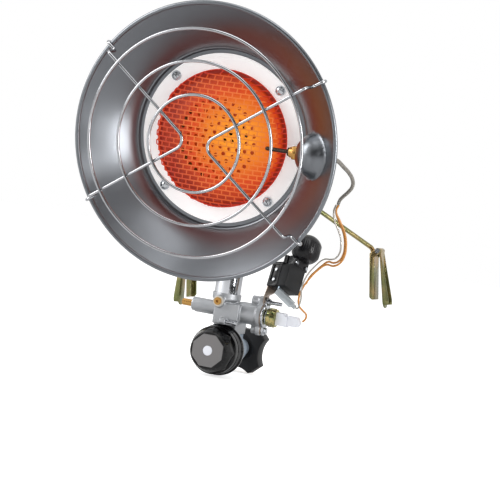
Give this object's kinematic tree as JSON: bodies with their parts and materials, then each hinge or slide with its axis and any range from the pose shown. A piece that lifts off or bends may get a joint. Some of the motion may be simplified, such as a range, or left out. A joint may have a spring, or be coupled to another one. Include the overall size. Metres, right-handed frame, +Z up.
{
  "type": "propane tank top heater",
  "caption": "Infrared gas heater head: dished reflector with glowing screen and wire guard on a chrome mixing tube, regulator, valve, tip-over switch and collar clips.",
  "frame": {"origin": "on the outlet nut's axis, where its thread begins at the back of the hand wheel", "axes": "+Y along the outlet nut into the bottle valve, -Y the way the dish faces, +Z up, +X to the right seen from the front"},
  "size_m": [0.2711, 0.2994, 0.3615],
  "materials": {
    "dish_metal": "spun and bright, a little brushed",
    "plate_metal": "bright",
    "zinc": "bright zinc",
    "screen_glow": "hot wire, glowing orange",
    "radiant_glow": "hot perforated steel, glowing",
    "pan_steel": "plain",
    "chrome": "mirror",
    "brass": "turned",
    "guard_wire": "bright",
    "probe_steel": "heat stained",
    "grey_sheath": "braided sleeve",
    "orange_wire": "silicone insulation",
    "clear_wire": "silvery under clear insulation",
    "cast_alloy": "die cast, matt",
    "pale_plastic": "satin",
    "yellow_zinc": "yellow zinc",
    "white_plastic": "satin",
    "grey_casting": "die cast, matt",
    "gloss_black": "glossy",
    "grey_plastic": "satin",
    "matte_black": "fine grain",
    "black_rubber": "smooth",
    "bracket_steel": "plain",
    "switch_black": "satin",
    "switch_grain": "grained",
    "tinned_steel": "tinned",
    "clear_sleeve": "clear sleeve",
    "clamp_steel": "bright",
    "chromate": "yellow chromate, iridescent"
  },
  "bodies": {
    "heater": {"reflector_dish": "dish_metal", "burner_plate": "plate_metal", "plate_screws": "zinc", "burner_screen": "screen_glow", "burner_radiant": "radiant_glow", "burner_pan": "pan_steel", "mixing_tube": "chrome", "gas_jet": "brass", "guard_outer_ring": "guard_wire", "guard_middle_ring": "guard_wire", "guard_inner_ring": "guard_wire", "guard_left_spoke": "guard_wire", "guard_right_spoke": "guard_wire", "thermocouple": "probe_steel", "thermocouple_nut": "brass", "thermocouple_lead": "grey_sheath", "terminal_wire": "orange_wire", "connector_wire": "orange_wire", "spade_wire": "clear_wire", "valve_body": "cast_alloy", "test_plug": "brass", "test_plug_ring": "pale_plastic", "cover_plate": "zinc", "flange_screws": "zinc", "magnet_nut": "yellow_zinc", "connector_socket": "white_plastic", "connector_plug": "white_plastic", "vent_screw": "zinc", "regulator_body": "grey_casting", "gas_tailpiece": "brass", "nose_seal": "black_rubber", "switch_bracket": "bracket_steel", "switch_housing": "switch_black", "snap_switch": "switch_grain", "ball_housing": "switch_black", "switch_rivets": "zinc", "switch_terminals": "tinned_steel", "spade_connector": "clear_sleeve", "support_clamp": "clamp_steel", "support_screw": "zinc"},
    "knob": {"regulator_knob": "gloss_black", "knob_face": "grey_plastic", "adjusting_stem": "zinc"},
    "wheel": {"hand_wheel": "matte_black", "outlet_nut": "brass"},
    "stem": {"push_stem": "brass"},
    "support": {"support_wire": "chromate", "right_inner_jaw": "chromate", "right_jaw_pin": "zinc", "left_inner_jaw": "chromate", "left_jaw_pin": "zinc"},
    "right_jaw": {"right_outer_jaw": "chromate"},
    "left_jaw": {"left_outer_jaw": "chromate"}
  },
  "joints": [
    {"name": "knob_turn", "type": "hinge", "parent": "heater", "child": "knob", "pos_m": [0, -0.078, 0], "axis": [0, 1, 0], "range_deg": [0, 270]},
    {"name": "stem_push", "type": "slide", "parent": "heater", "child": "stem", "axis": [1, 0, 0], "range_m": [0, 0.006], "stiffness_N_per_m": 1500, "springref_m": -0.003},
    {"name": "wheel_turn", "type": "hinge", "parent": "heater", "child": "wheel", "pos_m": [0, -0.008, 0], "axis": [0, 1, 0], "continuous": true},
    {"name": "support_turn", "type": "hinge", "parent": "heater", "child": "support", "pos_m": [0, -0.06355, 0.178], "axis": [0, 1, 0], "range_deg": [-12, 30]},
    {"name": "right_jaw_open", "type": "hinge", "parent": "support", "child": "right_jaw", "pos_m": [0.11755, 0.03245, 0.12139], "axis": [0, -1, 0], "range_deg": [0, 25], "stiffness_Nm_per_rad": 0.3, "springref_deg": -5.16},
    {"name": "left_jaw_open", "type": "hinge", "parent": "support", "child": "left_jaw", "pos_m": [-0.09431, 0.03245, 0.08784], "axis": [0, 1, 0], "range_deg": [0, 25], "stiffness_Nm_per_rad": 0.3, "springref_deg": -5.16}
  ]
}
